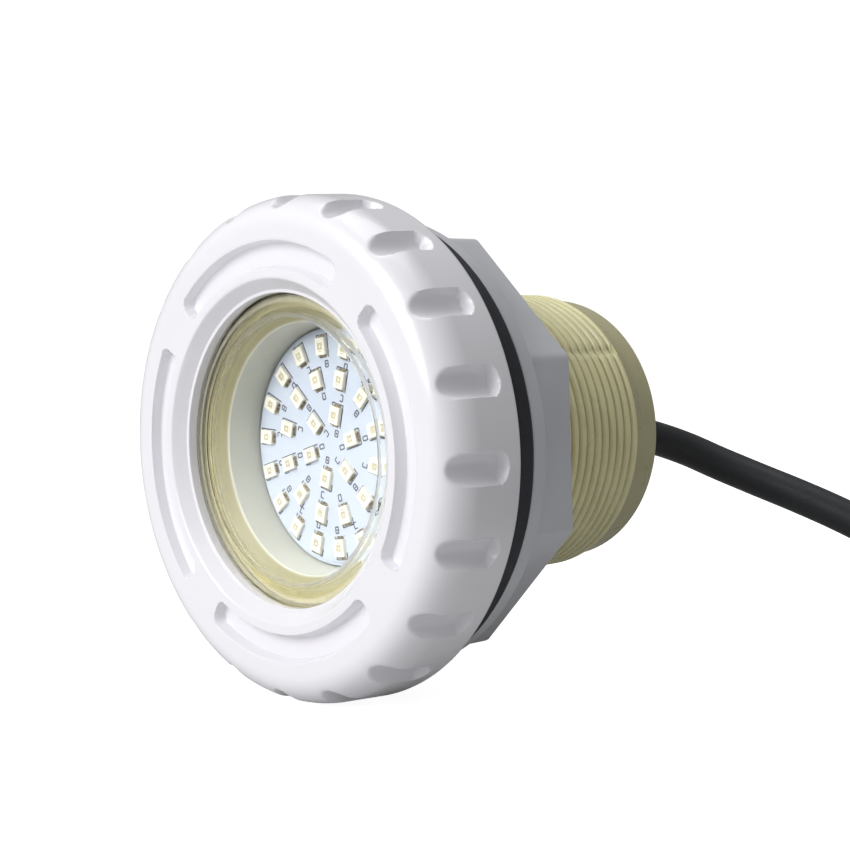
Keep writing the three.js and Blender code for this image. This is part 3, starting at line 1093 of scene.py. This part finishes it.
def cut_parting_flats(radius, y, theta):
    """The conduit's radius where its thread is flattened along the mould's two parting lines."""
    flat, half_width = 0.45, 0.045
    from_parting = np.abs(from_nearest(theta, 2, PARTING_ANGLE))
    cut = flat * smoothstep(half_width, half_width - 0.02, from_parting) * (y > THREAD["start"])
    return np.minimum(radius, THREAD["radius"] - cut)


def make_niche_body():
    outline = niche_outline()
    theta = angles(216)
    radius, y = outline[:, :1], outline[:, 1:]
    on_conduit = np.abs(radius - THREAD["radius"]) < 1e-6
    conduit = cut_parting_flats(cut_thread(radius, y, theta, THREAD), y, theta)
    radius = np.where(on_conduit, conduit, cut_thread(radius, y, theta, COLLAR))
    stand_in("niche_body", grid_mesh("fine_niche_body", grid_points(radius, y, theta)))


def make_wall_gasket():
    front, rear, outer = span("wall_gasket")
    inner = 30.2
    corners = [(inner, front), (outer, front), (outer, rear), (inner, rear)]
    stand_in("wall_gasket", turned("fine_wall_gasket", rounded(corners, radius=0.9, steps=4), 160))


def make_flange_nut():
    """The octagonal nut, with a round flange and a recess for its slip washer."""
    front, rear, flange = span("flange_nut")
    half_across = NUT["corner"] * math.cos(math.pi / NUT["sides"])
    flange_rear, recess, recess_radius = 3.9, front + 1, 38.6
    corners = [
        (recess_radius, front, 0.3),
        (flange, front, 0.5),
        (flange - 0.3, flange_rear, 0.5),
        (half_across, flange_rear, 0.5),
        (half_across, rear, 0.7),
        (NUT["bore"], rear, 0.6),
        (NUT["bore"], recess, 0.3),
        (recess_radius, recess, 0.3),
    ]

    def on_side(r, y):
        return (y > flange_rear - 0.05) & (r > 37) & (r < half_across + 0.6)

    octagon = {"sides": NUT["sides"], "inner": half_across, "corner": 1.4, "phase": 22.5}
    outline = rounded(corners, steps=5)
    stand_in("flange_nut", faceted("fine_flange_nut", outline, on_side, **octagon, columns=360))


# ---------------------------------------------------------------- the back of the lamp


def make_back_cover():
    """A plate with a sealing groove near its rim and a boss that the gland goes through."""
    front, rear, rim = span("lamp_back_cover")
    plate_rear, bore, boss, groove = front + 3, 6.4, 10.5, 23.0
    corners = [
        (bore, front),
        (rim, front, 0.4),
        (rim, plate_rear, 0.7),
        (groove + 0.4, plate_rear, 0.2),
        (groove, plate_rear - 0.6, 0.2),
        (groove - 0.4, plate_rear, 0.2),
        (boss, plate_rear, 0.9),
        (boss, rear, 0.7),
        (bore, rear, 0.4),
    ]
    stand_in("lamp_back_cover", turned("fine_lamp_back_cover", rounded(corners), 160))


def make_cover_screws():
    """Pan-head screws with a hexagonal socket."""
    socket, head, shank = 1.2, 2.5, 1.1
    for node in ("cover_screw_1", "cover_screw_2", "cover_screw_3"):
        low, high = extent(node)
        tip, top = low.y, high.y
        socket_bottom, under_head = top - 1.1, top - 1.6
        corners = [
            (0, socket_bottom),
            (socket, socket_bottom, 0.05),
            (socket, top - 0.1, 0.1),
            (2.1, top, 0.5),
            (head, top - 0.8, 0.3),
            (head, under_head, 0.1),
            (shank, under_head),
            (shank, tip, 0.3),
            (0, tip),
        ]

        def in_socket(r, y):
            return (r > 0.9) & (r < 1.35) & (y > socket_bottom - 0.1)

        hexagon = {"sides": 6, "inner": socket, "corner": 0.1, "phase": 0}
        mesh = faceted("fine_" + node, rounded(corners), in_socket, **hexagon, columns=48)
        mesh.transform(Matrix.Translation(((low.x + high.x) / 2 * MM, 0, (low.z + high.z) / 2 * MM)))
        stand_in(node, mesh)


def make_gland():
    """The gland's body, and its nut with a domed end."""
    corner_radius, bore, seal_bore, thread = 12.4, 4.4, 7.7, 9.3
    half_across = corner_radius * math.cos(math.pi / 6)
    hexagon = {"sides": 6, "inner": half_across, "corner": 0.6}
    front, rear = span("gland_body")[:2]
    hexagon_front, hexagon_rear = front + 7, front + 10.8
    body = [
        (bore, front),
        (6, front),
        (6, hexagon_front),
        (half_across, hexagon_front, 0.5),
        (half_across, hexagon_rear, 0.5),
        (thread, hexagon_rear, 0.2),
        (thread, rear, 0.4),
        (seal_bore, rear, 0.3),
        (seal_bore, front + 11),
        (bore, front + 11),
    ]
    mesh = faceted(
        "fine_gland_body", rounded(body, 0.2), lambda r, y: r > 9.7, **hexagon, phase=30, columns=120
    )
    stand_in("gland_body", mesh)

    front, rear = span("gland_nut")[:2]
    nut_bore, end_bore, bore_end = thread + 0.3, 7.6, front + 7.5
    nut = [
        (nut_bore, front, 0.2),
        (half_across, front, 0.5),
        (half_across, front + 8.5, 0.8),
        (9.3, front + 9, 0.3),
        (9.1, rear, 1.1),
        (end_bore, rear, 0.4),
        (end_bore, bore_end, 0.2),
        (nut_bore, bore_end, 0.2),
    ]

    def on_nut(r, y):
        return (r > nut_bore + 0.05) & (y < rear - 3)

    mesh = faceted("fine_gland_nut", rounded(nut, 0.2, 4), on_nut, **hexagon, phase=0, columns=120)
    stand_in("gland_nut", mesh)


def make_bend_sleeve():
    """A tapered sleeve with shallow rings that let it bend."""
    start, end, radius = span("bend_sleeve")
    rings, rings_start, groove, bore = 5, start + 3.1, 0.7, CABLE_RADIUS + 0.25
    pitch = (end - rings_start) / rings
    corners = [(bore, start, 0.1), (radius, start, 0.4), (radius, start + 1.9, 0.4)]
    for i in range(rings):
        y = rings_start + i * pitch
        top = 6.8 - 1.5 * (y - start) / (end - start)
        corners += [(top - groove, y - 0.7, 0.2), (top - groove, y, 0.2), (top, y + 0.2, 0.3)]
        corners += [(top, y + pitch - 0.9, 0.3)]
    corners += [(5.2, end, 0.4), (bore, end, 0.2)]
    stand_in("bend_sleeve", turned("fine_bend_sleeve", rounded(corners), 96))


def dress_cad_nodes():
    """The CAD nodes that stay, inside the lamp, take their slot's material too."""
    for node, thing in frame["nodes"].items():
        thing.data.materials.clear()
        thing.data.materials.append(MATERIALS[SLOTS[node]])


# ---------------------------------------------------------------- the scene

bpy.context.scene.view_settings.view_transform = "Standard"
make_camera()
make_floor()
make_world(ambient=0.28, backdrop=1.05)
make_lights()

lead = make_lead()
on_lead = make_cores() + make_tie()

make_face_ring()
make_lens()
make_lamp_cup()
make_lens_sealant()
make_led_board()
make_niche_body()
make_wall_gasket()
make_flange_nut()
make_back_cover()
make_cover_screws()
make_gland()
make_bend_sleeve()
dress_cad_nodes()
